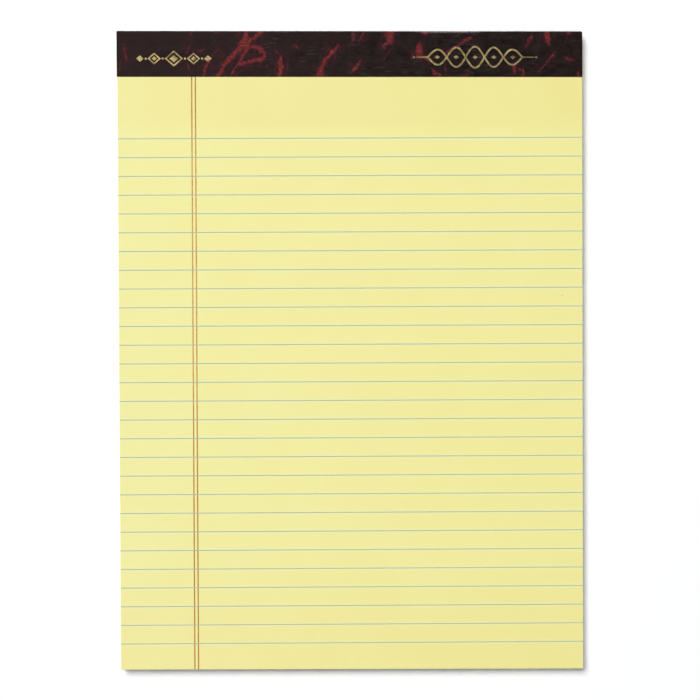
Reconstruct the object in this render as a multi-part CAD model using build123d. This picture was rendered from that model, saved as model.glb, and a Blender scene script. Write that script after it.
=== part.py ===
import os

from build123d import *

# A letter-size writing pad lying on its back: +X across the sheet, +Y to the bound head, +Z up.
# All sizes are in millimetres.

# Trimmed outside of the pad
pad_width = 215.9
pad_length = 297.2

# Ruled sheets
sheet_count = 50
sheet_thickness = 0.1
sheet_head_radius = 0.8  # front edge of the head, pressed round under the tape

# Chipboard back
board_thickness = 1.5
board_head_radius = 0.4  # back edge of the head, softened the same way

# Binding tape, folded over the head and trimmed flush with the sides
tape_thickness = 0.2
front_flap_height = 21.2
back_flap_height = 21.2

# Wire staples through sheets and board, hidden by the tape
staple_count = 4
staple_pitch = 54.0
staple_drop = 9.5  # crown below the head of the sheets
wire_width = 0.7  # flattened wire
wire_thickness = 0.45
wire_bend_radius = 0.6  # on the wire's centre line
crown_width = 12.7  # between the centre lines of the legs
crown_sink = 0.2  # how far the crown is pressed into the sheets
clinch_length = 4.0  # bent end of a leg, from the leg's centre line
clinch_cover = 0.06  # depth of a bent end below the board's back face
wire_clearance = 0.02

# Swells that the staple crowns raise in the tape
swell_run = 1.2  # from the wire's side to where the tape lies flat again
swell_crest_radius = 1.2
swell_foot_radius = 1.5

# Cuts run this far past the face that they open
cut_overrun = 1.0

# Places that follow from those sizes
foot_y = -pad_length / 2
head_y = pad_length / 2
sheet_head_y = head_y - tape_thickness
sheet_length = sheet_head_y - foot_y
board_back_z = tape_thickness
sheets_back_z = board_back_z + board_thickness
sheets_front_z = sheets_back_z + sheet_count * sheet_thickness
staple_y = sheet_head_y - staple_drop
crown_rise = wire_thickness - crown_sink + wire_clearance
crown_z = sheets_front_z + wire_thickness / 2 - crown_sink
clinch_z = board_back_z + clinch_cover + wire_thickness / 2
staple_span = (staple_count - 1) * staple_pitch
staple_places = [number * staple_pitch - staple_span / 2 for number in range(staple_count)]


def layer(back_z, front_z):
    """A layer of the stack, trimmed to the size of a sheet."""
    blank = Box(pad_width, sheet_length, front_z - back_z, align=(Align.CENTER, Align.MIN, Align.MIN))
    return Pos(0, foot_y, back_z) * blank


def head_edges(solid):
    """The long edges along the head, from back to front."""
    return solid.edges().filter_by(Axis.X).group_by(Axis.Y)[-1].sort_by(Axis.Z)


def bent_wire(clearance=0):
    """One staple about X = 0, larger by a clearance all round: crown, two legs, ends clinched inwards."""
    leg_x = crown_width / 2
    tip_x = leg_x - clinch_length - clearance
    corners = [
        (-tip_x, staple_y, clinch_z),
        (-leg_x, staple_y, clinch_z),
        (-leg_x, staple_y, crown_z),
        (leg_x, staple_y, crown_z),
        (leg_x, staple_y, clinch_z),
        (tip_x, staple_y, clinch_z),
    ]
    path = FilletPolyline(*corners, radius=wire_bend_radius)
    section = Rectangle(wire_width + 2 * clearance, wire_thickness + 2 * clearance)
    return sweep(Plane(path @ 0, x_dir=(0, 1, 0), z_dir=path % 0) * section, path=path)


def at_staples(shape):
    """The shape repeated at every staple."""
    return [Pos(place, 0, 0) * shape for place in staple_places]


def clinch_cuts():
    """Where one staple's legs pierce the board, and the grooves its bent ends are pressed into."""
    slit_width = wire_width + 2 * wire_clearance
    slit_length = wire_thickness + 2 * wire_clearance
    depth = sheets_back_z - board_back_z + cut_overrun
    slit = Box(slit_length, slit_width, depth, align=(Align.CENTER, Align.CENTER, Align.MAX))
    groove_length = clinch_length + wire_clearance
    groove_depth = clinch_z - board_back_z + cut_overrun
    groove = Box(groove_length, slit_width, groove_depth, align=(Align.MAX, Align.CENTER, Align.MAX))
    right = Pos(0, 0, sheets_back_z) * slit + Pos(0, 0, clinch_z) * groove
    right = Pos(crown_width / 2, staple_y, 0) * right
    return right + mirror(right, about=Plane.YZ)


def crown_tent(base_z):
    """The low ridge that the tape makes over one crown, standing on the height base_z."""
    crest_length = crown_width + wire_thickness + wire_width
    foot = SlotOverall(crest_length + 2 * swell_run, wire_width + 2 * swell_run)
    crest = SlotOverall(crest_length, wire_width)
    return Pos(0, staple_y, base_z) * loft([foot, Pos(0, 0, crown_rise) * crest], ruled=True)


def swell_edges(tape, height):
    """The edges of the swells at one height, without those of the tape's own border."""
    reach = wire_width + swell_run
    level = tape.edges().filter_by_position(Axis.Z, height, height)
    near = level.filter_by_position(Axis.Y, staple_y - reach, staple_y + reach)
    return near.filter_by_position(Axis.X, -pad_width / 2, pad_width / 2, inclusive=(False, False))


def make_page_block():
    """The sheets as one trimmed block, with the staples' channels through it."""
    block = layer(sheets_back_z, sheets_front_z)
    block = fillet(head_edges(block)[-1], sheet_head_radius)
    return block - at_staples(bent_wire(wire_clearance))


def make_backing_board():
    """The chipboard, pierced by the legs and grooved for their clinched ends."""
    board = layer(board_back_z, sheets_back_z)
    board = fillet(head_edges(board)[0], board_head_radius)
    board = board - at_staples(bent_wire(wire_clearance))
    return board - at_staples(clinch_cuts())


def make_binding_tape():
    """The tape folded round the head, swelling over each crown at its own even thickness."""
    inner_corners = [
        (head_y - front_flap_height, sheets_front_z),
        (sheet_head_y, sheets_front_z),
        (sheet_head_y, board_back_z),
        (head_y - back_flap_height, board_back_z),
    ]
    inner = FilletPolyline(*inner_corners, radius=[sheet_head_radius, board_head_radius])
    section = make_face(Plane.YZ * offset(inner, tape_thickness, side=Side.LEFT))
    tape = extrude(section, amount=pad_width / 2, both=True)
    front_z = sheets_front_z + tape_thickness
    tape = tape + at_staples(crown_tent(front_z))
    tape = fillet(swell_edges(tape, front_z + crown_rise), swell_crest_radius)
    tape = fillet(swell_edges(tape, front_z), swell_foot_radius)
    return tape - at_staples(crown_tent(sheets_front_z))


def make_wire_staples():
    """The staples as separate bent wires."""
    return Compound(at_staples(bent_wire()))


pieces = {
    "page_block": make_page_block,
    "backing_board": make_backing_board,
    "binding_tape": make_binding_tape,
    "wire_staples": make_wire_staples,
}

os.makedirs("parts", exist_ok=True)
for name, make in pieces.items():
    export_step(make(), f"parts/{name}.step")
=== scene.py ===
import math
import random
from functools import partial

import bmesh
import bpy
import numpy as np
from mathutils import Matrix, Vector, noise


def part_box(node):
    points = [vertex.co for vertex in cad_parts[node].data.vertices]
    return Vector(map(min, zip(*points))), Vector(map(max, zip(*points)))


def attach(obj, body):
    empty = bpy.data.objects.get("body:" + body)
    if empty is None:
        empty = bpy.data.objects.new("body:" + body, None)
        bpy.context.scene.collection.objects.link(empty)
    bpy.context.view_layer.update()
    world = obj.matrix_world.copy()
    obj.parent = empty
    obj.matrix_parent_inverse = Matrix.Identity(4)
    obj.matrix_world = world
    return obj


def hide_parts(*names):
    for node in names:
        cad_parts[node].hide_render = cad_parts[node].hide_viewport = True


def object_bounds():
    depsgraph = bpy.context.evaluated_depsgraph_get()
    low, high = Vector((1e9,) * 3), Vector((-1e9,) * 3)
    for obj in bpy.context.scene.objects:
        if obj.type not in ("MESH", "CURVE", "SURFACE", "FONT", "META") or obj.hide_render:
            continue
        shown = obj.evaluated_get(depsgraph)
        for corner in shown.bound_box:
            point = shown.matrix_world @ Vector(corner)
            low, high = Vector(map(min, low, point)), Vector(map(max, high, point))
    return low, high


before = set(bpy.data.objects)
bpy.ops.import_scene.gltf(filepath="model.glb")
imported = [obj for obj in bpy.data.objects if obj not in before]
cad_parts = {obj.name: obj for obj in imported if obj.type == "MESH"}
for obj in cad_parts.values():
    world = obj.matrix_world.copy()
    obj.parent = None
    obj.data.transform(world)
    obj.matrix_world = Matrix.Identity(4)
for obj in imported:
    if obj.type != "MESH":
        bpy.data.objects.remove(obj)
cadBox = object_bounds()

mm = 0.001
sheetLow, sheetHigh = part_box("page_block")
boardLow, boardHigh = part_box("backing_board")
tapeLow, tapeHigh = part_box("binding_tape")
pageTop = sheetHigh.z
padWidth = sheetHigh.x - sheetLow.x
sheetLength = sheetHigh.y - sheetLow.y
pad = {
    "leftCorner": 0.5 * mm, "rightCorner": 1.0 * mm,  # the head corners are rubbed round, through every layer
    "outOfSquare": -0.003,  # the guillotine cut the pad a little skew
}
print("frame loaded, pad", round(padWidth / mm, 1), "mm wide")


# small helpers for node trees, used by materials and by Geometry Nodes alike
def rgb(red, green, blue):
    def linear(part):
        share = part / 255
        return share / 12.92 if share <= 0.04045 else ((share + 0.055) / 1.055) ** 2.4
    return (linear(red), linear(green), linear(blue), 1.0)


def addNode(tree, kind, inputs=None, **settings):
    node = tree.nodes.new(kind)
    for key, value in settings.items():
        setattr(node, key, value)
    for key, value in (inputs or {}).items():
        if isinstance(value, bpy.types.NodeSocket):
            tree.links.new(value, node.inputs[key])
        else:
            node.inputs[key].default_value = value
    return node


def outputOf(kind, inputs, output=0, **settings):
    # the output of a new node, in the tree that its linked inputs belong to
    tree = next(value.id_data for value in inputs.values() if isinstance(value, bpy.types.NodeSocket))
    return addNode(tree, kind, inputs, **settings).outputs[output]


def maths(operation, a, b=0.0, c=0.0):
    return outputOf("ShaderNodeMath", {0: a, 1: b, 2: c}, operation=operation)


plus = partial(maths, "ADD")
minus = partial(maths, "SUBTRACT")
times = partial(maths, "MULTIPLY")
over = partial(maths, "DIVIDE")


def apart(vector):
    return outputOf("ShaderNodeSeparateXYZ", {0: vector}).node.outputs


def joined(x=0.0, y=0.0, z=0.0):
    return outputOf("ShaderNodeCombineXYZ", {0: x, 1: y, 2: z})


def remap(value, low, high, toLow=0.0, toHigh=1.0, smooth=True):
    kind = "SMOOTHSTEP" if smooth else "LINEAR"
    inputs = {"Value": value, 1: low, 2: high, 3: toLow, 4: toHigh}
    return outputOf("ShaderNodeMapRange", inputs, interpolation_type=kind)


def grainOf(place, layer):
    # a layer's noise: stretched along the piece, then scale, detail, roughness and distortion
    if "stretch" in layer:
        place = outputOf("ShaderNodeVectorMath", {0: place, 1: layer["stretch"]}, operation="MULTIPLY")
    names = ("Scale", "Detail", "Roughness", "Distortion")
    return outputOf("ShaderNodeTexNoise", {"Vector": place, **dict(zip(names, layer["noise"]))})


def layerOf(place, layer):
    # the same noise spread over its span, in the order that remap takes it
    return remap(grainOf(place, layer), *layer["span"])


def mixColour(share, first, second):
    return outputOf("ShaderNodeMix", {0: share, 6: first, 7: second}, 2, data_type="RGBA")


def newMaterial(name, finish):
    material = bpy.data.materials.new(name)
    material.use_nodes = True
    shader = material.node_tree.nodes["Principled BSDF"]
    shader.inputs["Roughness"].default_value = finish["roughness"]
    shader.inputs["Specular IOR Level"].default_value = finish["specular"]
    shader.inputs["Metallic"].default_value = finish.get("metallic", 0.0)
    return material, material.node_tree, shader


def objectPlace(tree):
    return addNode(tree, "ShaderNodeTexCoord").outputs["Object"]


def attributeOf(tree, name, output="Fac"):
    return addNode(tree, "ShaderNodeAttribute", attribute_name=name).outputs[output]


def feed(shader, name, value):
    shader.id_data.links.new(value, shader.inputs[name])


def bumped(shader, height, strength, distance):
    inputs = {"Height": height, "Strength": strength, "Distance": distance}
    feed(shader, "Normal", outputOf("ShaderNodeBump", inputs))


# Geometry Nodes: each tree runs once and leaves a plain mesh
def meshPlace(tree):
    return addNode(tree, "GeometryNodeInputPosition").outputs[0]


def namedField(tree, name, kind="FLOAT"):
    return addNode(tree, "GeometryNodeInputNamedAttribute", {"Name": name}, data_type=kind).outputs[0]


def moved(geometry, offset):
    return outputOf("GeometryNodeSetPosition", {"Geometry": geometry, "Offset": offset})


def stored(geometry, name, value, domain):
    inputs = {"Geometry": geometry, "Name": name, "Value": value}
    return outputOf("GeometryNodeStoreNamedAttribute", inputs, domain=domain)


def onPoints(points, instance, rotation=(0.0, 0.0, 0.0)):
    inputs = {"Points": points, "Instance": instance, "Rotation": rotation}
    return outputOf("GeometryNodeInstanceOnPoints", inputs)


def realised(geometry):
    return outputOf("GeometryNodeRealizeInstances", {0: geometry})


def grow(piece, shape, values):
    # the values become the tree's named inputs, and are set before it first runs
    kinds = {int: "Int", float: "Float", tuple: "Vector", bpy.types.Material: "Material"}
    tree = bpy.data.node_groups.new(shape.__name__, "GeometryNodeTree")
    for way in ("INPUT", "OUTPUT"):
        tree.interface.new_socket("Geometry", in_out=way, socket_type="NodeSocketGeometry")
    settings = {}
    for label, value in values.items():
        kind = "NodeSocket" + kinds[type(value)]
        settings[tree.interface.new_socket(label, in_out="INPUT", socket_type=kind).identifier] = value
    socket = addNode(tree, "NodeGroupInput").outputs
    inputs = {"Geometry": realised(shape(tree, socket)), "Material": socket["Material"]}
    addNode(tree, "NodeGroupOutput", {0: outputOf("GeometryNodeSetMaterial", inputs)})
    modifier = piece.modifiers.new(tree.name, "NODES")
    modifier.node_group = tree
    for identifier, value in settings.items():
        modifier[identifier] = value
    graph = bpy.context.evaluated_depsgraph_get()
    mesh = bpy.data.meshes.new_from_object(piece.evaluated_get(graph), depsgraph=graph)
    piece.modifiers.remove(modifier)
    piece.data = mesh
    mesh.name = piece.name
    return piece


def newPiece(name, data=None):
    piece = bpy.data.objects.new(name, data or bpy.data.meshes.new(name))
    bpy.context.scene.collection.objects.link(piece)
    return piece


def settle(piece, slot, *nodes):
    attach(piece, "root")
    if nodes:
        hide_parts(*nodes)
    print(piece.name, "done,", len(piece.data.polygons), "faces")


# shapes shared by the sheets, the board and the tape
def sideAt(y, radius):
    # distance of a long side from the middle line: full width, then round the head corner
    past = np.clip((y - tapeHigh.y + radius) / radius, 0.0, 1.0)
    return padWidth / 2 - radius * (1.0 - np.sqrt(1.0 - past * past))


def acrossAt(y, shares, overhang=0.0):
    # one row of points per y, from the left side to the right one
    left, right = sideAt(y, pad["leftCorner"]) + overhang, sideAt(y, pad["rightCorner"])
    return (right - left)[:, None] / 2 + (right + left)[:, None] / 2 * shares


def skewed(points):
    # the same slight skew for every piece
    half = pad["outOfSquare"] / 2
    x, y, z = points[..., 0], points[..., 1], points[..., 2]
    return np.stack([x + half * y, y + half * x, z], axis=-1)


def gridQuads(number):
    # the corners of each cell in a grid of point numbers
    corners = number[:-1, :-1], number[:-1, 1:], number[1:, 1:], number[1:, :-1]
    return np.stack(corners, axis=-1).reshape(-1, 4).tolist()


def slab(name, foot, head, low, high, layer):
    # a flat closed layer with the pad's outline, its rows closer together round the head corners
    bend = tapeHigh.y - pad["rightCorner"]
    rows = np.linspace(foot, bend, layer["bendRows"])
    rows = np.append(rows, np.linspace(bend, head, layer["cornerRows"])[1:])
    across = acrossAt(rows, np.linspace(-1.0, 1.0, layer["columns"]))
    along = np.broadcast_to(rows[:, None], across.shape)
    points = [np.stack([across, along, np.full(across.shape, z)], axis=-1) for z in (high, low)]
    top = np.arange(across.size).reshape(across.shape)
    rim = np.concatenate([top[0], top[1:, -1], top[-1, -2::-1], top[-2::-1, 0]])
    faces = gridQuads(top) + gridQuads(top[::-1] + top.size)
    faces += gridQuads(np.stack([rim, rim + top.size], axis=1))
    mesh = bpy.data.meshes.new(name)
    mesh.from_pydata(skewed(np.concatenate(points).reshape(-1, 3)).tolist(), [], faces)
    return mesh


# yellow paper: faint clouds and fibres, one small fleck, and cut edges of slightly different tones
paper = {
    "roughness": 0.86, "specular": 0.2, "bump": (0.12, 0.02 * mm),
    "light": rgb(244, 238, 164), "deep": rgb(240, 231, 149), "edge": rgb(222, 208, 122),
    "clouds": {"noise": (34.0, 3.0), "span": (0.3, 0.7, 0.0, 0.25)},
    "fibres": {"stretch": (1.0, 0.45, 1.0), "noise": (1500.0, 4.0, 0.6), "span": (0.35, 0.7, 0.0, 0.2)},
    "paintedShadeRight": 0.6,  # painted shade: how much deeper the tone is drawn at the right side, where the light falls off
    # the ruled field looks a shade cooler, and fades at these shares of the sheet's length from its middle
    "cool": rgb(247, 249, 177), "coolShare": 0.25, "coolHead": (0.365, 0.335), "coolFoot": (-0.475, -0.3),
    "bleed": rgb(232, 245, 209), "bleedShare": 0.42, "bleedReach": 1.5 * mm,  # rule ink feathers outwards
    "fleck": rgb(150, 128, 84), "fleckPlace": (98.4 * mm, 25.6 * mm, pageTop), "fleckSize": 0.45 * mm,
    "fleckEdge": {"noise": (2600.0,)}, "fleckFade": (0.585 * mm, 0.315 * mm), "fleckShare": 0.7,
}


def nearRules(spot):
    # strength of the feathered ink at a point of the sheet, from its distance to the nearest rule
    slope = math.tan(rules["skew"]) + pad["outOfSquare"] / 2
    level = maths("MULTIPLY_ADD", spot[0], -slope, spot[1])
    lines = over(minus(level, tapeHigh.y - rules["first"]), rules["pitch"])
    nearest = maths("MINIMUM", maths("ROUND", lines), 0.0)
    nearest = maths("MAXIMUM", nearest, 1.0 - rules["count"])
    away = times(maths("ABSOLUTE", minus(lines, nearest)), rules["pitch"])
    return remap(away, paper["bleedReach"], 0.0, 0.0, paper["bleedShare"])


def paperMaterial():
    material, tree, shader = newMaterial("yellowPaper", paper)
    place = objectPlace(tree)
    spot = apart(place)
    fibres = grainOf(place, paper["fibres"])
    tone = plus(layerOf(place, paper["clouds"]), remap(fibres, *paper["fibres"]["span"]))
    # painted shade: the tone deepens towards the right side, where the light falls off
    side = remap(spot[0], -padWidth / 2, padWidth / 2, 0.0, paper["paintedShadeRight"], smooth=False)
    colour = mixColour(plus(tone, side), paper["light"], paper["deep"])
    height = over(spot[1], sheetLength)
    ruled = times(remap(height, *paper["coolHead"]), remap(height, *paper["coolFoot"]))
    colour = mixColour(times(ruled, paper["coolShare"]), colour, paper["cool"])
    colour = mixColour(nearRules(spot), colour, paper["bleed"])
    colour = mixColour(attributeOf(tree, "edgeTone"), colour, paper["edge"])
    inputs = {0: place, 1: paper["fleckPlace"]}
    away = outputOf("ShaderNodeVectorMath", inputs, "Value", operation="DISTANCE")
    ragged = maths("MULTIPLY_ADD", grainOf(place, paper["fleckEdge"]), paper["fleckSize"], away)
    fleck = remap(ragged, *paper["fleckFade"], 0.0, paper["fleckShare"])
    feed(shader, "Base Color", mixColour(fleck, colour, paper["fleck"]))
    bumped(shader, fibres, *paper["bump"])
    return material


# printing inks, thin enough for the paper to break them up
inks = {
    "roughness": 0.8, "specular": 0.2,
    "patchy": {"noise": (700.0, 4.0, 0.65), "span": (0.35, 0.75, 0.35, 1.35)},
    "slow": {"noise": (45.0, 2.0), "span": (0.3, 0.7, 0.7, 1.2)},
    # thinness: how thin the ink lies at the head, in the middle and at the foot
    "rule": {"full": rgb(174, 183, 142), "thin": rgb(194, 199, 151), "thinness": (0.33, 0.33, 0.33)},
    "margin": {"full": rgb(180, 125, 53), "thin": rgb(212, 167, 92), "thinness": (0.2, 1.0, 0.12)},
    "headFade": (112 * mm, 92 * mm), "footFade": (5 * mm, -75 * mm),
}


def inkMaterial(name, ink):
    material, tree, shader = newMaterial(name, inks)
    place = objectPlace(tree)
    along = apart(place)[1]
    head, middle, foot = ink["thinness"]
    thinness = remap(along, *inks["footFade"], middle, foot)
    thinness = remap(along, *inks["headFade"], head, thinness)
    uneven = times(layerOf(place, inks["patchy"]), layerOf(place, inks["slow"]))
    share = maths("MINIMUM", times(thinness, uneven), 1.0)
    feed(shader, "Base Color", mixColour(share, ink["full"], ink["thin"]))
    return material


# the stack: sheets lie a little apart, slip a little, step back under the fold and come up at the loose foot
stack = {
    "count": 50, "gap": 0.014 * mm, "slipAcross": 0.035 * mm, "slipAlong": 0.06 * mm, "foldRadius": 0.8 * mm,
    "footLift": 0.22 * mm, "liftPower": 2.0, "uneven": {"noise": (3.0, 0.0), "span": (0.3, 0.7, 0.6, 1.2)},
    "edgeTone": 0.9, "flatFrom": 0.5,  # a face less upright than this is a cut edge
    "columns": 10, "bendRows": 14, "cornerRows": 6, "seed": 7,
}


def footLift(tree, share, socket):
    # nothing at the head, most at the foot
    place = meshPlace(tree)
    run = over(minus(socket["Head"], apart(place)[1]), socket["Length"])
    rise = maths("POWER", maths("MAXIMUM", run, 0.0), stack["liftPower"])
    lift = times(rise, layerOf(place, stack["uneven"]))
    return times(times(lift, share), socket["Foot Lift"])


def foldSetback(tree, socket):
    # near the top of the stack the heads follow the round of the fold
    radius = socket["Fold Radius"]
    spot = apart(meshPlace(tree))
    rise = maths("MAXIMUM", minus(spot[2], minus(socket["Top"], radius)), 0.0)
    share = maths("MINIMUM", over(rise, radius), 1.0)
    chord = maths("SQRT", minus(1.0, times(share, share)))
    back = times(minus(chord, 1.0), radius)
    nearHead = maths("GREATER_THAN", spot[1], minus(socket["Head"], radius))
    return joined(y=times(back, nearHead))


def stackOfSheets(tree, socket):
    inputs = {"Count": socket["Sheet Count"], "Offset": joined(z=socket["Pitch"])}
    sheets = onPoints(outputOf("GeometryNodeMeshLine", inputs), socket["Geometry"])
    inputs = {0: socket["Slip Low"], 1: socket["Slip High"], 8: socket["Seed"]}
    slip = outputOf("FunctionNodeRandomValue", inputs, data_type="FLOAT_VECTOR")
    sheets = outputOf("GeometryNodeTranslateInstances", {"Instances": sheets, "Translation": slip})
    number = addNode(tree, "GeometryNodeInputIndex").outputs[0]
    share = over(number, minus(socket["Sheet Count"], 1.0))
    inputs = {2: 0.0, 3: socket["Edge Tone"], 8: plus(socket["Seed"], 1.0)}
    chance = outputOf("FunctionNodeRandomValue", inputs, 1, data_type="FLOAT")
    sheets = stored(sheets, "sheetTone", chance, "INSTANCE")
    loose = realised(stored(sheets, "sheetShare", share, "INSTANCE"))
    upright = apart(addNode(tree, "GeometryNodeInputNormal").outputs[0])[2]
    onEdge = maths("LESS_THAN", maths("ABSOLUTE", upright), stack["flatFrom"])
    loose = stored(loose, "edgeTone", times(onEdge, namedField(tree, "sheetTone")), "FACE")
    loose = moved(loose, foldSetback(tree, socket))
    return moved(loose, joined(z=footLift(tree, namedField(tree, "sheetShare"), socket)))


def makeSheets(material):
    pitch = (sheetHigh.z - sheetLow.z) / stack["count"]
    low, high = sheetLow.z + stack["gap"], sheetLow.z + pitch
    sheet = slab("ruledSheets", sheetLow.y, sheetHigh.y, low, high, stack)
    slip = stack["slipAcross"]
    return grow(newPiece("ruledSheets", sheet), stackOfSheets, {
        "Sheet Count": stack["count"], "Pitch": pitch, "Top": pageTop, "Fold Radius": stack["foldRadius"],
        "Slip Low": (-slip, -stack["slipAlong"], 0.0), "Slip High": (slip, 0.0, 0.0),
        "Head": sheetHigh.y, "Length": sheetLength, "Foot Lift": stack["footLift"],
        "Edge Tone": stack["edgeTone"], "Seed": stack["seed"], "Material": material})


# printed lines: the rules across the sheet and the double margin rule down it
rules = {
    "count": 28, "first": 49.67 * mm, "pitch": 8.7127 * mm, "width": 0.4 * mm, "skew": math.radians(0.205),
    "cells": 28, "under": 0.008 * mm, "proud": 0.012 * mm,
}
margin = {
    "count": 2, "first": 34.41 * mm, "gap": 1.701 * mm, "width": 0.58 * mm, "skew": math.radians(0.013),
    "cells": 40, "under": 0.008 * mm, "proud": 0.008 * mm,
    "tucked": 1.0 * mm,  # starts a little way under the tape
}


def printedLines(tree, socket):
    inputs = {"Size": socket["Line Size"], 1: socket["Cells Across"], 2: socket["Cells Along"]}
    line = outputOf("GeometryNodeMeshCube", inputs)
    inputs = {"Count": socket["Line Count"], "Start Location": socket["First Line"], "Offset": socket["Step"]}
    places = outputOf("GeometryNodeMeshLine", inputs)
    loose = realised(onPoints(places, line, joined(z=socket["Skew"])))
    # they follow the pad's slight skew and the lift of the top sheet
    spot = apart(meshPlace(tree))
    half = over(socket["Out Of Square"], 2.0)
    return moved(loose, joined(times(spot[1], half), times(spot[0], half), footLift(tree, 1.0, socket)))


def makeLines(name, line, size, cells, first, step, material):
    depth = line["under"] + line["proud"]
    return grow(newPiece(name), printedLines, {
        "Line Size": (*size, depth), "Cells Across": cells[0], "Cells Along": cells[1],
        "Line Count": line["count"], "First Line": (*first, pageTop + line["proud"] - depth / 2),
        "Step": step, "Skew": line["skew"], "Head": sheetHigh.y, "Length": sheetLength,
        "Foot Lift": stack["footLift"], "Out Of Square": pad["outOfSquare"], "Material": material})


def makeRules(material):
    size, first = (padWidth, rules["width"]), (0.0, tapeHigh.y - rules["first"])
    step = (0.0, -rules["pitch"], 0.0)
    return makeLines("ruleLines", rules, size, (rules["cells"], 2), first, step, material)


def makeMargin(material):
    head = tapeLow.y + margin["tucked"]
    size = (margin["width"], head - sheetLow.y)
    first = (sheetLow.x + margin["first"], (head + sheetLow.y) / 2)
    step = (margin["gap"], 0.0, 0.0)
    return makeLines("marginLines", margin, size, (2, margin["cells"]), first, step, material)


# binding tape: leather-grained paper folded over the head, raised where the staples lie under it
tape = {
    "thickness": boardLow.z - tapeLow.z, "frontFold": 0.8 * mm, "backFold": 0.4 * mm,
    "overhang": 0.35 * mm, "longer": 0.1 * mm,  # pasted on a little to the left and low
    "cellX": 0.45 * mm, "frontCell": 0.32 * mm, "headCell": 0.5 * mm, "backCell": 0.8 * mm, "foldCells": 8,
    "innerStep": 4, "crease": math.radians(40),
    "flatNormal": 1.0 - 1e-9, "underBelow": -0.5,  # where a face counts as flat, and as underneath
    "staples": 4, "staplePitch": 54.0 * mm, "stapleDrop": 9.7 * mm, "crown": 13.15 * mm, "wire": 0.7 * mm,
    "swellRun": 2.6 * mm, "swellRise": 0.25 * mm,
    "streakHeight": 0.03 * mm, "streakLength": 3.5 * mm, "streakWidth": 0.55 * mm,
    "ridges": {"noise": (1.0, 2.0, 0.55, 0.4), "span": (0.45, 0.8)},
    # the fold is rubbed along one stretch and hardly anywhere else
    "wornFrom": 138.0 * mm, "wornTo": 170.0 * mm, "wornFade": 6.0 * mm, "wornBelow": 0.3 * mm,
    "wornHeight": 0.45 * mm, "wornElsewhere": 0.05,
}
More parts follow.
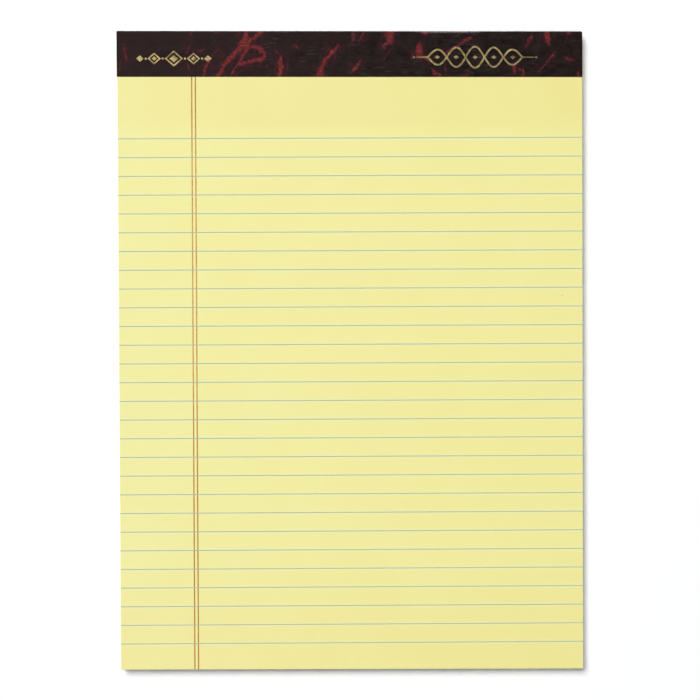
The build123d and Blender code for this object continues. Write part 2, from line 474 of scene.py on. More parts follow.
marble = {
    "roughness": 0.6, "specular": 0.05, "bump": (0.35, 0.06 * mm),
    "groundLeft": rgb(37, 25, 24), "cloudLeft": rgb(41, 28, 27),
    # the darker colours at the right are painted shade where the light falls off to the right
    "groundRight": rgb(15, 9, 7), "cloudRight": rgb(36, 27, 25), "shadeRightSpan": (10.0 * mm, 170.0 * mm),
    "hazeRed": rgb(66, 28, 29), "hazePlum": rgb(58, 27, 41), "plum": rgb(74, 29, 37),
    "crimson": rgb(109, 33, 49), "red": rgb(115, 36, 31), "orange": rgb(136, 60, 31),
    # fleck and streak are painted highlights on the grain; worn is the rubbed fold
    "fleck": rgb(165, 98, 98), "streak": rgb(82, 77, 78), "worn": rgb(172, 152, 154),
    # what each colour takes of the veins, of the tint round them and of their warmth
    "hazeSpan": (0.1, 0.8, 0.03, 1.0), "hazeFade": (0.6, 1.0, 1.0, 0.5), "plumSpan": (0.1, 0.4, 0.0, 0.9),
    "redSpan": (0.0, 0.45, 0.0, 1.0, False), "orangeSpan": (0.7, 1.15, 0.0, 1.0, False),
    "coreSpan": (0.3, 0.62), "threadSpan": (0.5, 0.85), "speckSpan": (0.3, 0.6),
    "glintSpan": (0.5, 0.72, 0.0, 0.4), "gapSpan": (0.3, 0.5, 0.45, 0.0),
    "streaky": (35.0 * mm, 85.0 * mm, 0.15, 1.0),
    "pebbles": 1500.0, "pebbleShare": 0.6, "sheenSpan": (0.4, 1.2, 0.52, 0.72, False),
    "clouds": {"stretch": (0.7, 1.0, 1.0), "noise": (260.0, 5.0, 0.7), "span": (0.32, 0.68)},
    "smoke": {"stretch": (1.0, 0.7, 1.0), "noise": (480.0, 5.0, 0.7, 0.8), "span": (0.44, 0.62)},
    "drift": {"noise": (190.0, 2.0), "span": (0.42, 0.6)},
    "ragged": {"noise": (900.0, 5.0, 0.65), "span": (0.32, 0.68, 0.5, 1.25, False)},
    "mottle": {"noise": (520.0, 3.0, 0.6), "span": (0.3, 0.7, -0.45, 0.45, False)},
    "patches": {"noise": (680.0, 3.0, 0.65), "span": (0.38, 0.56, 0.4, 1.0)},
    "thread": {"stretch": (1.0, 0.55, 1.0), "noise": (620.0, 2.0, 0.5, 0.6), "span": (0.008, 0.03, 0.45, 0)},
    "grain": {"stretch": (0.6, 1.0, 1.0), "noise": (1400.0, 3.0, 0.7)},
    "fine": {"stretch": (0.09, 1.0, 1.0), "noise": (1800.0, 3.0, 0.6, 0.3), "span": (0.55, 0.7)},
    "where": {"noise": (75.0, 2.0), "span": (0.46, 0.62, 0.06, 0.5)},
    "scuffs": {"noise": (1300.0, 4.0, 0.7), "span": (0.36, 0.62)},
    # veins wander a little, and are laid as runs of dabs that differ by these shares
    "wander": 0.35, "wanderScale": 0.32, "dabStep": 0.8, "dabAside": 0.2, "dabTurn": 0.2,
    "dabLong": (1.0, 1.8), "dabWide": (0.55, 0.95), "dabStrength": (0.75, 1.08), "dabWarmth": 0.2,
    "veinFall": 0.8, "haloFall": 0.6, "haloReach": 2.7, "cutOff": 3.0, "leastWeight": 1e-6,
    # veins by chance over the head and on the back, and small specks anywhere, in millimetres
    "hiddenVeins": 44, "hiddenFrom": -1.0, "lean": math.radians(62), "sway": 0.4, "hiddenLength": (3.0, 11.0),
    "hiddenHalf": (0.5, 1.3), "hiddenStrength": (0.5, 1.0),
    "specks": 110, "speckRun": (0.3, -0.5), "speckHalf": (0.25, 0.6), "speckStrength": (0.15, 0.36),
    "seed": 11,
    # each vein: half width in mm, strength, warmth, then points as (mm from the left side, mm below the head)
    "veins": [
        (1.0, 1.0, 0.35, (46.9, 20.6), (49.3, 16.3), (51.3, 13.8)),
        (1.1, 1.0, 0.4, (51.3, 13.8), (56.2, 8.4)), (1.6, 1.05, 0.5, (56.2, 8.4), (59.1, 5.9), (59.5, 3.5)),
        (1.1, 1.0, 0.3, (59.5, 3.5), (60.2, 0.4)), (0.8, 0.95, 1.0, (60.6, 5.6), (61.3, 4.6)),
        (0.7, 0.75, 0.4, (61.3, 4.6), (63.5, 2.9)), (1.2, 1.0, 0.6, (63.5, 2.9), (66.6, 0.3)),
        (0.95, 0.85, 0.35, (60.9, 7.3), (58.8, 10.2), (57.2, 13.3)),
        (0.5, 0.75, 0.9, (57.2, 13.3), (54.2, 17.6), (52.6, 20.6)),
        (1.15, 0.95, 0.4, (63.2, 7.3), (65.8, 8.1), (67.6, 9.9)),
        (0.8, 0.8, 0.35, (67.6, 9.9), (68.2, 11.5), (66.5, 13.5)),
        (1.15, 1.0, 0.4, (66.5, 13.4), (63.7, 13.6)),
        (1.0, 0.95, 0.15, (63.7, 13.6), (60.6, 14.5), (57.4, 15.4)),
        (0.7, 0.5, 0.1, (69.1, 16.6), (69.4, 16.2)), (0.4, 0.45, 0.2, (56.7, 19.4), (57.0, 18.4)),
        (0.75, 0.75, 0.6, (40.0, 20.6), (40.8, 17.1), (42.1, 14.5)),
        (0.6, 0.6, 0.7, (42.1, 14.5), (43.6, 12.2)), (0.5, 0.48, 0.2, (43.6, 12.2), (47.4, 8.1)),
        (0.45, 0.34, 0.2, (45.0, 4.6), (45.2, 6.6)), (0.8, 0.5, 0.2, (45.5, 0.5), (46.3, 0.6)),
        (0.6, 0.4, 0.2, (49.8, 0.4), (50.3, 0.5)), (0.55, 0.42, 0.3, (47.5, 9.6), (47.9, 10.3)),
        (0.7, 0.5, 0.5, (38.6, 9.4), (39.6, 9.0)), (0.6, 0.42, 0.4, (35.0, 9.4), (35.4, 10.6)),
        (0.75, 0.56, 0.1, (3.2, 8.2), (4.0, 12.7)), (0.5, 0.33, 0.2, (3.8, 15.6), (4.1, 17.6)),
        (0.6, 0.38, 0.6, (1.7, 13.2), (1.0, 18.0)), (0.6, 0.3, 0.3, (0.8, 2.6), (0.7, 4.2)),
        (0.7, 0.5, 0.1, (34.2, 0.8), (33.9, 1.7)), (0.6, 0.4, 0.3, (32.8, 3.2), (33.0, 4.2)),
        (0.65, 0.48, 0.2, (33.5, 7.0), (32.2, 10.0)), (0.7, 0.52, 0.1, (32.9, 16.5), (33.2, 17.8)),
        (1.15, 0.95, 0.55, (75.3, 20.6), (75.9, 17.1), (75.4, 13.6)),
        (0.45, 0.7, 0.9, (74.7, 17.5), (74.6, 14.0)),
        (0.4, 0.48, 0.5, (78.8, 15.2), (79.0, 17.1), (77.9, 19.4)),
        (0.75, 0.55, 0.2, (82.6, 6.7), (83.4, 7.5)), (0.65, 0.55, 0.1, (73.7, 9.9), (74.1, 10.5)),
        (1.3, 0.95, 0.6, (94.0, 20.6), (94.6, 17.6)),
        (1.0, 0.9, 0.25, (94.6, 17.6), (95.6, 15.3), (96.7, 13.0)),
        (0.8, 0.75, 0.5, (96.7, 13.0), (98.0, 12.2)),
        (0.9, 0.95, 0.65, (98.0, 12.2), (99.3, 10.2), (101.3, 8.3)),
        (0.7, 0.5, 0.0, (101.3, 8.3), (102.5, 6.8)), (1.0, 0.6, 0.1, (109.2, 0.6), (109.3, 3.9)),
        (0.65, 0.55, 0.1, (114.2, 0.8), (112.5, 4.4)), (0.5, 0.28, 0.3, (112.3, 5.0), (111.8, 6.6)),
        (2.1, 0.95, 0.4, (126.8, 0.6), (126.8, 2.9)),
        (1.4, 0.72, 0.15, (127.2, 2.8), (126.5, 5.0), (124.7, 6.4)),
        (0.9, 0.55, 0.05, (124.7, 6.6), (123.9, 7.6)),
        (0.5, 0.4, 0.1, (126.4, 8.7), (125.0, 11.2), (123.5, 13.6)),
        (0.95, 0.72, 0.55, (112.5, 14.4), (111.1, 16.1), (109.8, 17.7)),
        (1.5, 0.9, 0.5, (140.0, 7.6), (139.5, 11.6)), (1.0, 0.75, 0.45, (141.5, 11.6), (144.5, 13.8)),
        (0.9, 0.55, 0.2, (136.9, 11.4), (136.6, 12.4)), (0.5, 0.36, 0.1, (141.0, 3.2), (141.3, 5.2)),
        (0.9, 0.8, 0.0, (142.0, 0.6), (142.8, 1.0)), (0.95, 0.85, 0.5, (163.2, 3.6), (160.6, 5.2)),
        (0.75, 0.6, 0.1, (160.6, 5.2), (155.9, 8.1), (153.0, 9.8)),
        (0.6, 0.4, 0.1, (165.4, 1.5), (164.8, 2.2)), (0.95, 0.7, 0.2, (146.8, 18.6), (147.6, 19.8)),
        (0.8, 0.72, 0.6, (147.6, 19.8), (149.6, 20.4)), (0.45, 0.52, 0.1, (152.1, 16.0), (152.3, 20.4)),
        (0.8, 0.5, 0.6, (161.2, 20.5), (162.2, 20.5)),
        (1.0, 0.6, 0.0, (191.8, 3.3), (190.9, 5.2), (189.8, 7.2)),
        (1.4, 1.0, 0.7, (199.7, 0.4), (199.8, 3.6)), (0.8, 0.75, 0.3, (199.9, 3.6), (200.1, 6.0)),
        (1.0, 0.8, 1.0, (209.0, 0.7), (209.7, 1.0)), (0.5, 0.36, 0.8, (208.6, 2.4), (208.2, 4.2)),
        (0.5, 0.26, 0.8, (207.4, 6.0), (206.0, 9.4)), (0.7, 0.6, 0.3, (202.4, 11.0), (200.0, 13.8)),
        (0.5, 0.56, 0.1, (200.0, 13.8), (197.7, 16.3), (195.7, 19.0)),
        (1.05, 0.62, 0.1, (209.0, 12.5), (210.8, 13.3)), (1.0, 0.85, 0.2, (184.0, 16.6), (184.4, 18.9)),
        (0.6, 0.6, 0.7, (186.4, 17.6), (187.9, 17.8)), (0.6, 0.7, 0.6, (188.4, 18.6), (188.5, 20.6)),
        (0.7, 0.6, 0.8, (213.7, 19.3), (214.2, 20.4)), (0.7, 0.26, 0.2, (202.6, 16.4), (203.8, 16.8)),
    ],
}


def tapeSection():
    # outer line from the front flap's edge over the head to the back flap's edge, and its normals
    wall = tape["thickness"]
    front, back = tape["frontFold"] + wall, tape["backFold"] + wall
    topZ, lowZ, headY, footY = pageTop + wall, tapeLow.z, tapeHigh.y, tapeLow.y - tape["longer"]
    line = []

    def straight(start, end, normal, cell):
        count = max(2, round((end - start).length / cell))
        line.extend((start.lerp(end, step / count), normal) for step in range(count))

    def fold(centre, radius, fromAngle):
        for step in range(tape["foldCells"]):
            angle = fromAngle - math.radians(90) * step / tape["foldCells"]
            normal = Vector((0.0, math.cos(angle), math.sin(angle)))
            line.append((centre + normal * radius, normal))

    up, out, down = Vector((0, 0, 1)), Vector((0, 1, 0)), Vector((0, 0, -1))
    straight(Vector((0, footY, topZ)), Vector((0, headY - front, topZ)), up, tape["frontCell"])
    fold(Vector((0, headY - front, topZ - front)), front, math.radians(90))
    straight(Vector((0, headY, topZ - front)), Vector((0, headY, lowZ + back)), out, tape["headCell"])
    fold(Vector((0, headY - back, lowZ + back)), back, 0.0)
    straight(Vector((0, headY - back, lowZ)), Vector((0, tapeLow.y, lowZ)), down, tape["backCell"])
    line.append((Vector((0, tapeLow.y, lowZ)), down))
    return [np.array(part) for part in zip(*line)]


def swellAt(x, y):
    # height that the staple crowns raise in the front flap
    rise = np.zeros(np.shape(x))
    for number in range(tape["staples"]):
        centre = (number - (tape["staples"] - 1) / 2) * tape["staplePitch"]
        beyondX = np.maximum(np.abs(x - centre) - tape["crown"] / 2, 0.0)
        beyondY = np.maximum(np.abs(y - tapeHigh.y + tape["stapleDrop"]) - tape["wire"] / 2, 0.0)
        share = np.clip(1.0 - np.hypot(beyondX, beyondY) / tape["swellRun"], 0.0, 1.0)
        rise = np.maximum(rise, share * share * (3.0 - 2.0 * share))
    return rise * tape["swellRise"]


def chanceVeins(draw, farEnd):
    # veins over the head and on the back, then small specks anywhere
    frontEnd, width = (tapeHigh.y - tapeLow.y) / mm, padWidth / mm
    veins = []

    def addVein(start, end, halves, strengths):
        veins.append((draw.uniform(*halves), draw.uniform(*strengths), draw.random(), start, end))

    for _ in range(marble["hiddenVeins"]):
        x, d = draw.uniform(0, width), draw.uniform(farEnd, marble["hiddenFrom"])
        lean = marble["lean"] + draw.uniform(-marble["sway"], marble["sway"])
        length = draw.uniform(*marble["hiddenLength"])
        end = (x + length * math.cos(lean), d - length * math.sin(lean))
        addVein((x, d), end, marble["hiddenHalf"], marble["hiddenStrength"])
    for _ in range(marble["specks"]):
        x, d = draw.uniform(0, width), draw.uniform(farEnd, frontEnd)
        end = (x + marble["speckRun"][0], d + marble["speckRun"][1])
        addVein((x, d), end, marble["speckHalf"], marble["speckStrength"])
    return veins


def dabsAlong(veins, draw):
    # every vein is a run of overlapping dabs of uneven size, so that its sides come out ragged
    for half, strength, warmth, *points in veins:
        for (x0, d0), (x1, d1) in zip(points, points[1:]):
            length, angle = math.hypot(x1 - x0, d1 - d0), math.atan2(d1 - d0, x1 - x0)
            count = max(1, round(length / (half * marble["dabStep"])))
            for step in range(count + 1):
                aside = draw.gauss(0.0, marble["dabAside"]) * half
                yield {
                    "x": x0 + (x1 - x0) * step / count - math.sin(angle) * aside,
                    "d": d0 + (d1 - d0) * step / count + math.cos(angle) * aside,
                    "angle": angle + draw.gauss(0.0, marble["dabTurn"]),
                    "long": half * draw.uniform(*marble["dabLong"]),
                    "wide": half * draw.uniform(*marble["dabWide"]),
                    "strength": strength * draw.uniform(*marble["dabStrength"]),
                    "warmth": min(1.0, max(0.0, warmth + draw.gauss(0.0, marble["dabWarmth"]))),
                }


def marbling(across, below):
    # strength and warmth of the veins at each point, and the wider tint round them
    draw = random.Random(marble["seed"])
    noise.seed_set(marble["seed"])
    spots = zip(across.ravel(), below.ravel())
    wander = np.array([noise.noise_vector(Vector((x, d, 0.0)) * marble["wanderScale"]) for x, d in spots])
    movedX = across + wander[:, 0].reshape(across.shape) * marble["wander"]
    movedD = below + wander[:, 1].reshape(below.shape) * marble["wander"]
    vein, halo, heat, weight = np.zeros((4, *across.shape))
    weight += marble["leastWeight"]
    for dab in dabsAlong(marble["veins"] + chanceVeins(draw, below.min()), draw):
        reach = marble["cutOff"] * (dab["long"] + marble["haloReach"])
        rows = np.flatnonzero(np.abs(below[:, 0] - dab["d"]) < reach)
        columns = np.flatnonzero(np.abs(across[0] - dab["x"]) < reach)
        if not len(rows) or not len(columns):
            continue
        block = np.ix_(rows, columns)
        runX, runD = movedX[block] - dab["x"], movedD[block] - dab["d"]
        lengthwise = (runX * math.cos(dab["angle"]) + runD * math.sin(dab["angle"])) / dab["long"]
        sideways = (runD * math.cos(dab["angle"]) - runX * math.sin(dab["angle"])) / dab["wide"]
        here = dab["strength"] * np.exp(-marble["veinFall"] * (lengthwise ** 2 + sideways ** 2))
        spread = (runX ** 2 + runD ** 2) / (dab["wide"] + marble["haloReach"]) ** 2
        vein[block] = np.maximum(vein[block], here)
        halo[block] = np.maximum(halo[block], dab["strength"] * np.exp(-marble["haloFall"] * spread))
        heat[block] += here ** 2 * dab["warmth"]
        weight[block] += here ** 2
    return vein, halo, heat / weight


def foldWear(across, below):
    fadeIn = np.clip((across * mm - tape["wornFrom"]) / tape["wornFade"], 0, 1)
    fadeOut = np.clip((tape["wornTo"] - across * mm) / tape["wornFade"], 0, 1)
    onFold = np.exp(-((below * mm - tape["wornBelow"]) / tape["wornHeight"]) ** 2)
    return onFold * (tape["wornElsewhere"] + (1.0 - tape["wornElsewhere"]) * fadeIn * fadeOut)


def tapeInnerRows(normals):
    # the inner face needs every row of a fold, but only some rows of a flat
    flat = np.max(np.abs(normals), axis=1) > tape["flatNormal"]
    kept = ~(flat & np.roll(flat, 1) & np.roll(flat, -1))
    kept |= (normals[:, 2] > tape["flatNormal"]) & (np.arange(len(flat)) % tape["innerStep"] == 0)
    kept[[0, -1]] = True
    return np.flatnonzero(kept)


def makeTape(material):
    points, normals = tapeSection()
    rows, columns = len(points), round(padWidth / tape["cellX"]) + 1
    shares = np.linspace(-1.0, 1.0, columns)
    onFront = (normals[:, 2] > tape["flatNormal"])[:, None]

    def layer(offset):
        y = points[:, 1] - normals[:, 1] * offset
        z = points[:, 2] - normals[:, 2] * offset
        gridX = acrossAt(y, shares, tape["overhang"])
        gridY = np.repeat(y[:, None], columns, axis=1)
        gridZ = z[:, None] + np.where(onFront, swellAt(gridX, gridY), 0.0)
        return np.stack([gridX, gridY, gridZ], axis=-1)

    outer = layer(0.0)
    kept = tapeInnerRows(normals)
    inner = layer(tape["thickness"])[kept]
    outside = np.arange(rows * columns).reshape(rows, columns)
    inside = np.arange(len(kept) * columns).reshape(-1, columns) + outside.size
    faces = gridQuads(outside) + gridQuads(inside.T)
    faces += gridQuads(np.stack([inside[0], outside[0]])) + gridQuads(np.stack([outside[-1], inside[-1]]))
    for r in range(len(kept) - 1):
        for column, turn in ((0, 1), (-1, -1)):
            ring = [*outside[kept[r]:kept[r + 1] + 1, column], inside[r + 1, column], inside[r, column]]
            faces.append(ring[::turn])
    mesh = bpy.data.meshes.new("bindingTape")
    mesh.from_pydata(skewed(np.concatenate([outer.reshape(-1, 3), inner.reshape(-1, 3)])).tolist(), [], faces)

    # below: millimetres down the front flap from the head; negative over the head and on the back
    along = np.concatenate(([0.0], np.cumsum(np.linalg.norm(np.diff(points, axis=0), axis=1))))
    below = np.repeat((tapeHigh.y - points[0, 1] - along)[:, None] / mm, columns, axis=1)
    across = (outer[:, :, 0] + padWidth / 2) / mm
    vein, halo, warmth = marbling(across, below)
    fields = {"vein": vein, "halo": halo, "warmth": warmth, "worn": foldWear(across, below)}
    fields["flatPlace"] = np.stack([across * mm, below * mm, np.zeros(across.shape)], axis=-1)
    fields["outward"] = np.repeat(normals[:, None, :], columns, axis=1)
    for name, values in fields.items():
        width = values.shape[2] if values.ndim == 3 else 1
        field = mesh.attributes.new(name, "FLOAT_VECTOR" if width == 3 else "FLOAT", "POINT")
        filled = np.concatenate([values.reshape(-1, width), np.zeros((inner.size // 3, width))])
        field.data.foreach_set("vector" if width == 3 else "value", filled.astype(np.float32).ravel())
    piece = grow(newPiece("bindingTape", mesh), leatherGrain, {
        "Streak Height": tape["streakHeight"], "Streak Length": tape["streakLength"],
        "Streak Width": tape["streakWidth"], "Material": material})
    piece.data.shade_smooth()
    piece.data.set_sharp_from_angle(angle=tape["crease"])
    return piece


def leatherGrain(tree, socket):
    flat = apart(namedField(tree, "flatPlace", "FLOAT_VECTOR"))
    outward = namedField(tree, "outward", "FLOAT_VECTOR")
    place = joined(over(flat[0], socket["Streak Length"]), over(flat[1], socket["Streak Width"]))
    # pressed flat where the pad rests on it
    underneath = maths("LESS_THAN", apart(outward)[2], tape["underBelow"])
    ridges = minus(layerOf(place, tape["ridges"]), underneath)
    inputs = {0: outward, 3: times(ridges, socket["Streak Height"])}
    return moved(socket["Geometry"], outputOf("ShaderNodeVectorMath", inputs, operation="SCALE"))


def tapeMaterial():
    material, tree, shader = newMaterial("marbledTape", marble)
    place = attributeOf(tree, "flatPlace", "Vector")
    across = apart(place)[0]

    def shown(name):
        return layerOf(place, marble[name])

    def spanned(value, name):
        return remap(value, *marble[name])

    # clouded ground, darker to the right: painted shade where the light falls off
    side = spanned(across, "shadeRightSpan")
    ground = mixColour(side, marble["groundLeft"], marble["groundRight"])
    cloud = mixColour(side, marble["cloudLeft"], marble["cloudRight"])
    colour = mixColour(shown("clouds"), ground, cloud)

    # haze round the veins, weaker to the right with the painted shade
    nearVeins = times(spanned(attributeOf(tree, "halo"), "hazeSpan"), spanned(side, "hazeFade"))
    tint = mixColour(shown("drift"), marble["hazeRed"], marble["hazePlum"])
    colour = mixColour(times(shown("smoke"), nearVeins), colour, tint)

    # veins: plum at their sides, crimson to orange inside, with a few bright threads
    vein = times(attributeOf(tree, "vein"), shown("ragged"))
    colour = mixColour(spanned(vein, "plumSpan"), colour, marble["plum"])
    warmth = plus(attributeOf(tree, "warmth"), shown("mottle"))
    core = mixColour(spanned(warmth, "redSpan"), marble["crimson"], marble["red"])
    core = mixColour(spanned(warmth, "orangeSpan"), core, marble["orange"])
    colour = mixColour(times(spanned(vein, "coreSpan"), shown("patches")), colour, core)
    crest = maths("ABSOLUTE", minus(grainOf(place, marble["thread"]), 0.5))
    thread = times(remap(crest, *marble["thread"]["span"]), spanned(vein, "threadSpan"))
    colour = mixColour(thread, colour, marble["orange"])

    # the grain breaks the veins up; its pale flecks are painted highlights on the grain's ridges
    grain = grainOf(place, marble["grain"])
    inVein = spanned(vein, "speckSpan")
    colour = mixColour(times(spanned(grain, "glintSpan"), inVein), colour, marble["fleck"])
    colour = mixColour(times(spanned(grain, "gapSpan"), inVein), colour, ground)

    # pale streaks in places, painted glints on the grain, and the rubbed fold
    fine = grainOf(place, marble["fine"])
    glintStreaks = times(remap(fine, *marble["fine"]["span"]), shown("where"))
    glintStreaks = times(glintStreaks, spanned(across, "streaky"))
    colour = mixColour(glintStreaks, colour, marble["streak"])
    rubbed = times(attributeOf(tree, "worn"), shown("scuffs"))
    feed(shader, "Base Color", mixColour(rubbed, colour, marble["worn"]))

    inputs = {"Vector": place, "Scale": marble["pebbles"]}
    pebbles = outputOf("ShaderNodeTexVoronoi", inputs, feature="SMOOTH_F1")
    leather = maths("MULTIPLY_ADD", pebbles, marble["pebbleShare"], fine)
    feed(shader, "Roughness", spanned(leather, "sheenSpan"))
    bumped(shader, leather, *marble["bump"])
    return material


# gold foil printer's ornaments on the front of the tape: a row of lozenges, and a twist of two strands
foil = {
    "roughness": 0.45, "specular": 0.5, "metallic": 0.8, "bump": (0.2, 0.02 * mm),
    # rubbed is the colour of worn foil, and also the painted reflection of the darker blotches
    "gold": rgb(142, 125, 83), "rubbed": rgb(90, 77, 48), "sheenSpan": (0.3, 0.7, 0.4, 0.6),
    "specks": {"noise": (2400.0, 4.0, 0.7), "span": (0.45, 0.7)},
    "reflectionBlotches": {"noise": (520.0, 3.0, 0.6), "span": (0.4, 0.62, 0.0, 0.85)},
    "proud": 0.045 * mm, "depth": 0.05 * mm, "rings": 3, "gap": 0.36 * mm, "bead": 0.5 * mm, "beadCells": 16,
    "sideCells": 5,
}
lozengeRow = {
    "middle": 26.2 * mm, "drop": 12.9 * mm, "ring": (4.3 * mm, 3.7 * mm), "ringOpening": 0.76,
    "heart": (2.0 * mm, 1.7 * mm), "sideRing": (3.1 * mm, 2.7 * mm), "sideOpening": 0.7,
    "sideHeart": (1.15 * mm, 1.0 * mm), "petal": (1.8 * mm, 1.5 * mm),
}
twist = {
    "middle": 166.0 * mm, "drop": 12.2 * mm, "loops": 5, "loop": 8.8 * mm, "height": 4.9 * mm,
    "endHeight": 2.9 * mm, "half": 0.4 * mm, "tail": 5.6 * mm, "tailTip": 0.1 * mm, "weave": 0.012 * mm,
    "loopCells": 14, "widthCells": 2, "seed": (1.25 * mm, 0.85 * mm),
}


def lozenge(size):
    corners = [(size[0], 0.0), (0.0, size[1]), (-size[0], 0.0), (0.0, -size[1])]
    outline = []
    for (x0, y0), (x1, y1) in zip(corners, corners[1:] + corners[:1]):
        shares = [step / foil["sideCells"] for step in range(foil["sideCells"])]
        outline += [(x0 + (x1 - x0) * share, y0 + (y1 - y0) * share) for share in shares]
    return outline


def roundBead():
    turns = [math.tau * step / foil["beadCells"] for step in range(foil["beadCells"])]
    return [(foil["bead"] * math.cos(turn), foil["bead"] * math.sin(turn)) for turn in turns]


def makeFoil(material):
    form = bmesh.new()

    def point(x, y, lift=0.0):
        swell = float(swellAt(np.array(x), np.array(y)))
        place = np.array([x, y, pageTop + tape["thickness"] + swell + foil["proud"] + lift])
        return form.verts.new(skewed(place))

    def strip(lines, closed):
        for upper, lower in zip(lines, lines[1:]):
            for k in range(0 if closed else 1, len(upper)):
                form.faces.new((upper[k - 1], upper[k], lower[k], lower[k - 1]))

    def filled(middle, outline, opening=0.0):
        # rings from the outline towards the middle, which stays open where there is an opening
        shares = np.linspace(1.0, opening, foil["rings"] + 1)
        if not opening:
            shares = shares[:-1]
        lines = [[point(middle[0] + x * s, middle[1] + y * s) for x, y in outline] for s in shares]
        strip(lines, True)
        if not opening:
            centre, rim = point(*middle), lines[-1]
            for k in range(len(rim)):
                form.faces.new((rim[k - 1], rim[k], centre))

    def ribbon(xs, ys, halves, lifts):
        slopes = np.arctan2(np.gradient(ys), np.gradient(xs))
        lines = []
        for level in np.linspace(1.0, -1.0, twist["widthCells"] + 1):
            sideX, sideY = xs - np.sin(slopes) * halves * level, ys + np.cos(slopes) * halves * level
            lines.append([point(x, y, lift) for x, y, lift in zip(sideX, sideY, lifts)])
        strip(lines, False)

    x, y = lozengeRow["middle"] - padWidth / 2, tapeHigh.y - lozengeRow["drop"]
    filled((x, y), lozenge(lozengeRow["ring"]), lozengeRow["ringOpening"])
    filled((x, y), lozenge(lozengeRow["heart"]))
    bead = [(foil["bead"], roundBead(), 0.0)]
    ring, heart, petal = lozengeRow["sideRing"], lozengeRow["sideHeart"], lozengeRow["petal"]
    middling = [(ring[0], lozenge(ring), lozengeRow["sideOpening"]), (heart[0], lozenge(heart), 0.0)]
    for side in (1, -1):
        reach = lozengeRow["ring"][0]
        for shapes in (bead, middling, bead, [(petal[0], lozenge(petal), 0.0)]):
            half = shapes[0][0]
            reach += foil["gap"] + half
            for _, outline, opening in shapes:
                filled((x + side * reach, y), outline, opening)
            reach += half

    x, y = twist["middle"] - padWidth / 2, tapeHigh.y - twist["drop"]
    reach = twist["loops"] * twist["loop"] / 2
    steps = np.linspace(-reach, reach, twist["loops"] * twist["loopCells"] + 1)
    phase = math.pi * (steps + reach) / twist["loop"]
    bulge = twist["endHeight"] + (twist["height"] - twist["endHeight"]) * np.cos(math.pi / 2 * steps / reach)
    thick = np.full(steps.shape, twist["half"])
    for side in (1, -1):
        ribbon(x + steps, y + side * bulge * np.sin(phase), thick, side * twist["weave"] * np.cos(phase))
        tail = np.linspace(0.0, twist["tail"], twist["loopCells"] + 1)
        thin = twist["half"] + (twist["tailTip"] - twist["half"]) * tail / twist["tail"]
        ribbon(x + side * (reach + tail), np.full(tail.shape, y), thin, np.zeros(tail.shape))
        filled((x + side * (reach + twist["tail"] + foil["gap"] + foil["bead"]), y), roundBead())
    for number in range(twist["loops"]):
        filled((x - reach + (number + 0.5) * twist["loop"], y), lozenge(twist["seed"]))

    walls = bmesh.ops.extrude_face_region(form, geom=list(form.faces), use_keep_orig=True)
    lowered = [part for part in walls["geom"] if isinstance(part, bmesh.types.BMVert)]
    bmesh.ops.translate(form, verts=lowered, vec=(0.0, 0.0, -foil["depth"]))
    bmesh.ops.recalc_face_normals(form, faces=form.faces)
    mesh = bpy.data.meshes.new("foilOrnaments")
    form.to_mesh(mesh)
    form.free()
    mesh.materials.append(material)
    return newPiece("foilOrnaments", mesh)


def foilMaterial():
    material, tree, shader = newMaterial("goldFoil", foil)
    place = objectPlace(tree)
    specks = grainOf(place, foil["specks"])
    thin = remap(specks, *foil["specks"]["span"])
    # fine specks of rubbed foil, and larger blotches that are painted reflection, darker where the foil
    # reflects less
    thin = maths("MAXIMUM", thin, layerOf(place, foil["reflectionBlotches"]))
    feed(shader, "Base Color", mixColour(thin, foil["gold"], foil["rubbed"]))
    feed(shader, "Roughness", remap(specks, *foil["sheenSpan"]))
    bumped(shader, specks, *foil["bump"])
    return material


# chipboard back: grey recycled fibre with pale and dark flecks, and edges softened by the knife
board = {
    "roughness": 0.92, "specular": 0.15, "bump": (0.3, 0.05 * mm),
    "grey": rgb(158, 147, 128), "brown": rgb(145, 132, 112),
    "pale": rgb(190, 180, 160), "dark": rgb(84, 74, 62),
    "clouds": {"noise": (90.0, 6.0, 0.75), "span": (0.3, 0.7)},
    "fibres": {"stretch": (1.0, 0.3, 2.5), "noise": (1400.0, 4.0, 0.6, 0.6), "span": (0.55, 0.75, 0.0, 0.5)},
    "flecks": {"stretch": (1.0, 0.5, 1.0), "noise": (620.0, 2.0, 0.5, 1.0), "span": (0.68, 0.74, 0.0, 0.6)},
    "rimAngle": math.radians(60), "softEdge": 0.18 * mm, "edgeSteps": 3, "crease": math.radians(50),
    "columns": 12, "bendRows": 16, "cornerRows": 6,
}


def makeBoard(material):
    mesh = slab("backBoard", boardLow.y, boardHigh.y, boardLow.z, boardHigh.z, board)
    form = bmesh.new()
    form.from_mesh(mesh)
    rim = [edge for edge in form.edges if edge.calc_face_angle() > board["rimAngle"]]
    soften = {"offset": board["softEdge"], "segments": board["edgeSteps"], "profile": 0.5, "affect": "EDGES"}
    bmesh.ops.bevel(form, geom=rim, **soften)
    form.to_mesh(mesh)
    form.free()
    mesh.shade_smooth()
    mesh.set_sharp_from_angle(angle=board["crease"])
    mesh.materials.append(material)
    return newPiece("backBoard", mesh)


def boardMaterial():
    material, tree, shader = newMaterial("chipboard", board)
    place = objectPlace(tree)
    fibres = grainOf(place, board["fibres"])
    colour = mixColour(layerOf(place, board["clouds"]), board["grey"], board["brown"])
    colour = mixColour(remap(fibres, *board["fibres"]["span"]), colour, board["pale"])
    colour = mixColour(layerOf(place, board["flecks"]), colour, board["dark"])
    feed(shader, "Base Color", colour)
    bumped(shader, fibres, *board["bump"])
    return material


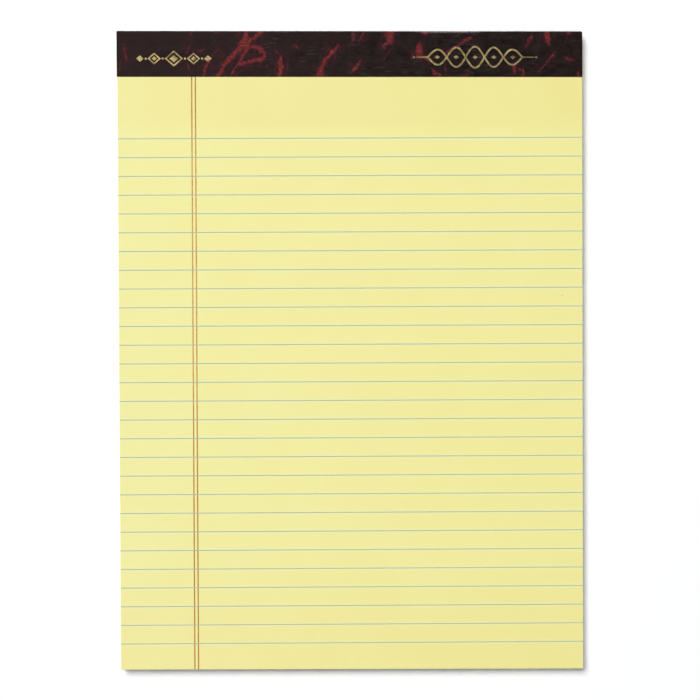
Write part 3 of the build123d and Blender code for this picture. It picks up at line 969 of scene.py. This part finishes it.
# galvanised staple wire
wire = {
    "roughness": 0.4, "specular": 0.5, "metallic": 1.0, "sheenSpan": (0.3, 0.7, 0.28, 0.5),
    "zinc": rgb(176, 178, 180), "dull": rgb(128, 130, 132),
    "spangle": {"noise": (1800.0, 3.0), "span": (0.35, 0.65)},
}


def wireMaterial():
    material, tree, shader = newMaterial("stapleWire", wire)
    spangle = grainOf(objectPlace(tree), wire["spangle"])
    colour = mixColour(remap(spangle, *wire["spangle"]["span"]), wire["zinc"], wire["dull"])
    feed(shader, "Base Color", colour)
    feed(shader, "Roughness", remap(spangle, *wire["sheenSpan"]))
    return material


# stage: pale floor, soft light from the upper left, and a camera nearly straight above
stage = {
    "roughness": 1.0, "specular": 0.0, "size": 60.0, "drop": 0.02 * mm, "white": (0.985, 0.985, 0.985, 1.0),
    "glow": 0.06, "glowColour": (0.8, 0.92, 1.4, 1.0),
}
light = {
    "sun": {"power": 2.665, "place": (-0.33, 0.475, 1.0), "colour": (1.0, 0.99, 0.965)},
    "fill": {"power": 2.2, "place": (-0.3, 0.35, 1.1), "colour": (0.95, 0.99, 1.15)},
    "sunWidth": math.radians(31), "fillSize": 0.4, "worldPower": 0.12,
    "seen": (0.3, 0.8, 1.0, 0.35),  # the background that shows: white round the sides, dim overhead
}
view = {
    "lens": 85.0, "sensor": 36.0, "place": (-7.095 * mm, 13.898 * mm, 776.419 * mm),
    "turn": (math.radians(-1.0024), math.radians(-0.4893), math.radians(-0.1332)),
}


def seenShare(tree):
    # 1 for rays that show the background itself: the camera's, and mirrored or see-through ones
    path = addNode(tree, "ShaderNodeLightPath").outputs
    either = maths("MAXIMUM", path["Is Camera Ray"], path["Is Glossy Ray"])
    return maths("MAXIMUM", either, path["Is Transmission Ray"])


def makeFloor():
    mesh = bpy.data.meshes.new("floor")
    half = stage["size"] / 2
    corners = [(-half, -half, 0), (half, -half, 0), (half, half, 0), (-half, half, 0)]
    mesh.from_pydata(corners, [], [(0, 1, 2, 3)])
    material, tree, shader = newMaterial("paleFloor", stage)
    shader.inputs["Base Color"].default_value = stage["white"]
    shader.inputs["Emission Color"].default_value = stage["glowColour"]
    feed(shader, "Emission Strength", times(seenShare(tree), stage["glow"]))
    mesh.materials.append(material)
    floor = newPiece("floor", mesh)
    floor.location.z = cadBox[0][2] - stage["drop"]


def addLamp(name, kind):
    # faces the middle of the pad
    lamp = newPiece(name, bpy.data.lights.new(name, kind))
    lamp.data.energy = light[name]["power"]
    lamp.data.color = light[name]["colour"]
    lamp.location = light[name]["place"]
    lamp.rotation_euler = lamp.location.to_track_quat("Z", "Y").to_euler()
    return lamp.data


def makeLights():
    addLamp("sun", "SUN").angle = light["sunWidth"]
    addLamp("fill", "AREA").size = light["fillSize"]
    world = bpy.data.worlds.new("studio")
    world.use_nodes = True
    tree = world.node_tree
    upward = apart(addNode(tree, "ShaderNodeTexCoord").outputs["Generated"])[2]
    inputs = {0: seenShare(tree), 2: light["worldPower"], 3: remap(upward, *light["seen"])}
    background = tree.nodes["Background"]
    background.inputs["Color"].default_value = (1.0, 1.0, 1.0, 1.0)
    feed(background, "Strength", outputOf("ShaderNodeMix", inputs, data_type="FLOAT"))
    bpy.context.scene.world = world


def makeCamera():
    camera = newPiece("camera", bpy.data.cameras.new("camera"))
    camera.data.lens = view["lens"]
    camera.data.sensor_width = view["sensor"]
    camera.location = view["place"]
    camera.rotation_euler = view["turn"]
    bpy.context.scene.camera = camera


makeFloor()
makeLights()
makeCamera()
bpy.context.scene.view_settings.view_transform = "Standard"
print("stage, lights and camera done")

settle(makeSheets(paperMaterial()), "ruled_paper", "page_block")
settle(makeMargin(inkMaterial("marginInk", inks["margin"])), "ruled_paper")
settle(makeRules(inkMaterial("ruleInk", inks["rule"])), "ruled_paper")
settle(makeTape(tapeMaterial()), "marbled_tape", "binding_tape")
settle(makeFoil(foilMaterial()), "marbled_tape")
settle(makeBoard(boardMaterial()), "chipboard", "backing_board")

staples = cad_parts["wire_staples"].data
staples.materials.clear()
staples.materials.append(wireMaterial())
print("staples finished")
